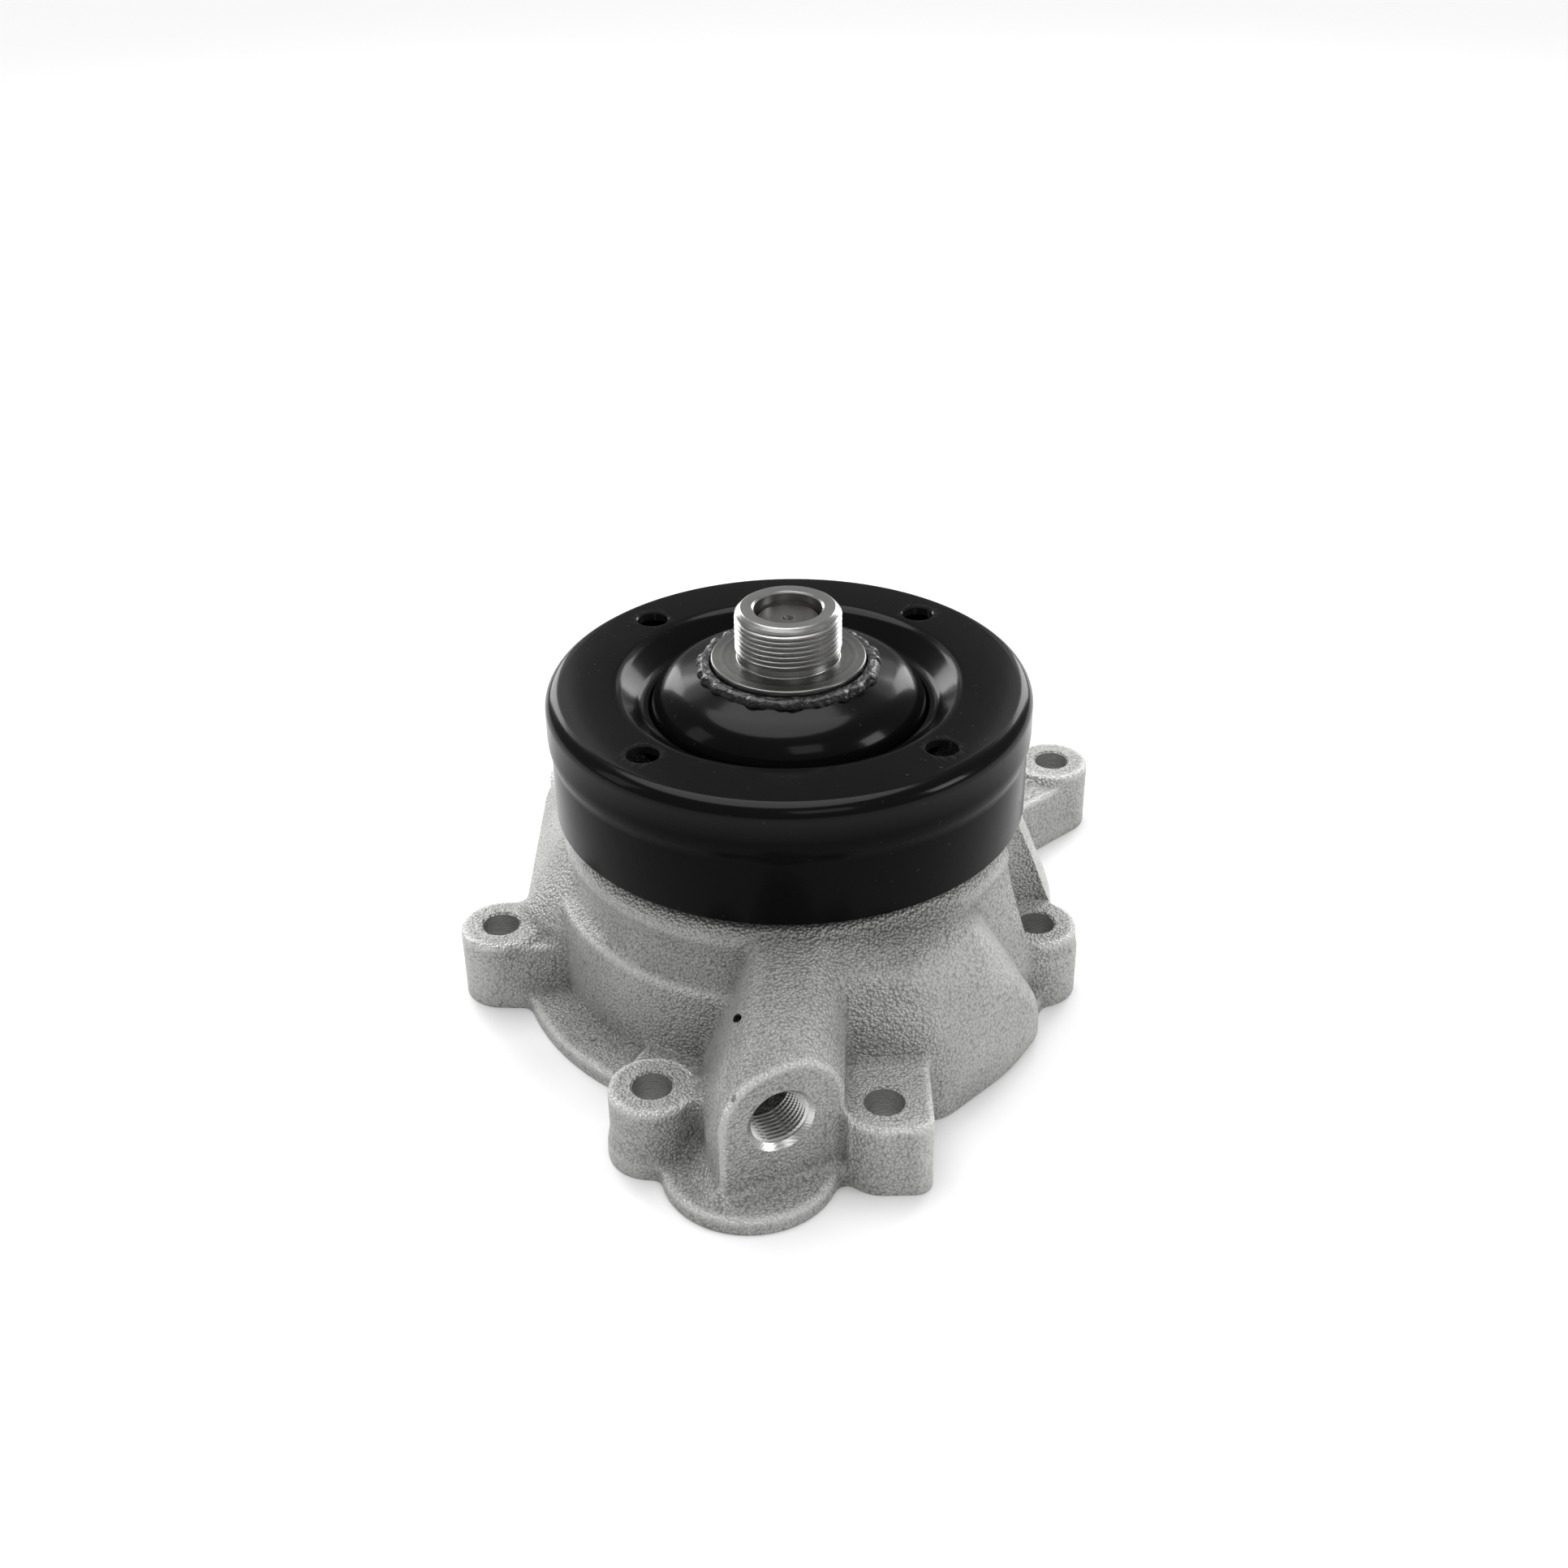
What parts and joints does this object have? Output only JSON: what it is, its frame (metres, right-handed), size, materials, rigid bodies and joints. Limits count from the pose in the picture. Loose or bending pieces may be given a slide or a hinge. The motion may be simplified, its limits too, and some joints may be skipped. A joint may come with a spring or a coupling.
{
  "type": "engine water pump",
  "caption": "Engine coolant pump with a cast aluminium scroll housing, bolt ears, a threaded side port, and a black pressed-steel belt pulley on a threaded fan hub.",
  "frame": {"origin": "middle of the footprint on the gasket face; the shaft axis stands at x -1 mm, y +9 mm", "axes": "+Z along the shaft, from the gasket face towards the fan hub; the side port faces -Y and a little to +X"},
  "size_m": [0.198, 0.226, 0.1178],
  "materials": {
    "cast_aluminium": "shot-blasted casting, fine grain",
    "impeller_aluminium": "as cast",
    "black_paint": "gloss black electro-coat",
    "weld_black": "gloss black over a rippled weld",
    "turned_steel": "turned, fine tool marks",
    "shaft_steel": "ground, end face turned",
    "bearing_steel": "ground and polished",
    "stainless": "bright drawn",
    "black_rubber": "matte",
    "carbon": "lapped carbon",
    "ceramic": "lapped alumina",
    "cage_plastic": "glass-filled nylon"
  },
  "bodies": {
    "housing_body": {"housing": "cast_aluminium", "bearing_outer_race": "bearing_steel", "bearing_seal_front": "black_rubber", "bearing_seal_rear": "black_rubber", "seal_cup": "stainless", "seal_bellows": "black_rubber", "seal_spring": "stainless", "carbon_face_ring": "carbon"},
    "rotor": {"bearing_shaft": "shaft_steel", "slinger": "black_rubber", "impeller": "impeller_aluminium", "mating_ring": "ceramic", "mating_ring_boot": "black_rubber", "pulley_shell": "black_paint", "hub_dome": "black_paint", "weld_bead": "weld_black", "hub_spud": "turned_steel"},
    "ball_train": {"ball_cage": "cage_plastic", "ball_1": "bearing_steel", "ball_2": "bearing_steel", "ball_3": "bearing_steel", "ball_4": "bearing_steel", "ball_5": "bearing_steel", "ball_6": "bearing_steel", "ball_7": "bearing_steel", "ball_8": "bearing_steel"},
    "roller_train": {"roller_cage": "cage_plastic", "roller_1": "bearing_steel", "roller_2": "bearing_steel", "roller_3": "bearing_steel", "roller_4": "bearing_steel", "roller_5": "bearing_steel", "roller_6": "bearing_steel", "roller_7": "bearing_steel", "roller_8": "bearing_steel", "roller_9": "bearing_steel"}
  },
  "joints": [
    {"name": "shaft_spin", "type": "hinge", "parent": "housing_body", "child": "rotor", "pos_m": [-0.001, 0.009, 0.07], "axis": [0, 0, 1], "continuous": true},
    {"name": "ball_train_spin", "type": "hinge", "parent": "housing_body", "child": "ball_train", "pos_m": [-0.001, 0.009, 0.062], "axis": [0, 0, 1], "continuous": true},
    {"name": "roller_train_spin", "type": "hinge", "parent": "housing_body", "child": "roller_train", "pos_m": [-0.001, 0.009, 0.079], "axis": [0, 0, 1], "continuous": true}
  ],
  "couplings": [
    {"joint": "ball_train_spin", "follows": "shaft_spin", "ratio": 0.35},
    {"joint": "roller_train_spin", "follows": "shaft_spin", "ratio": 0.375}
  ]
}
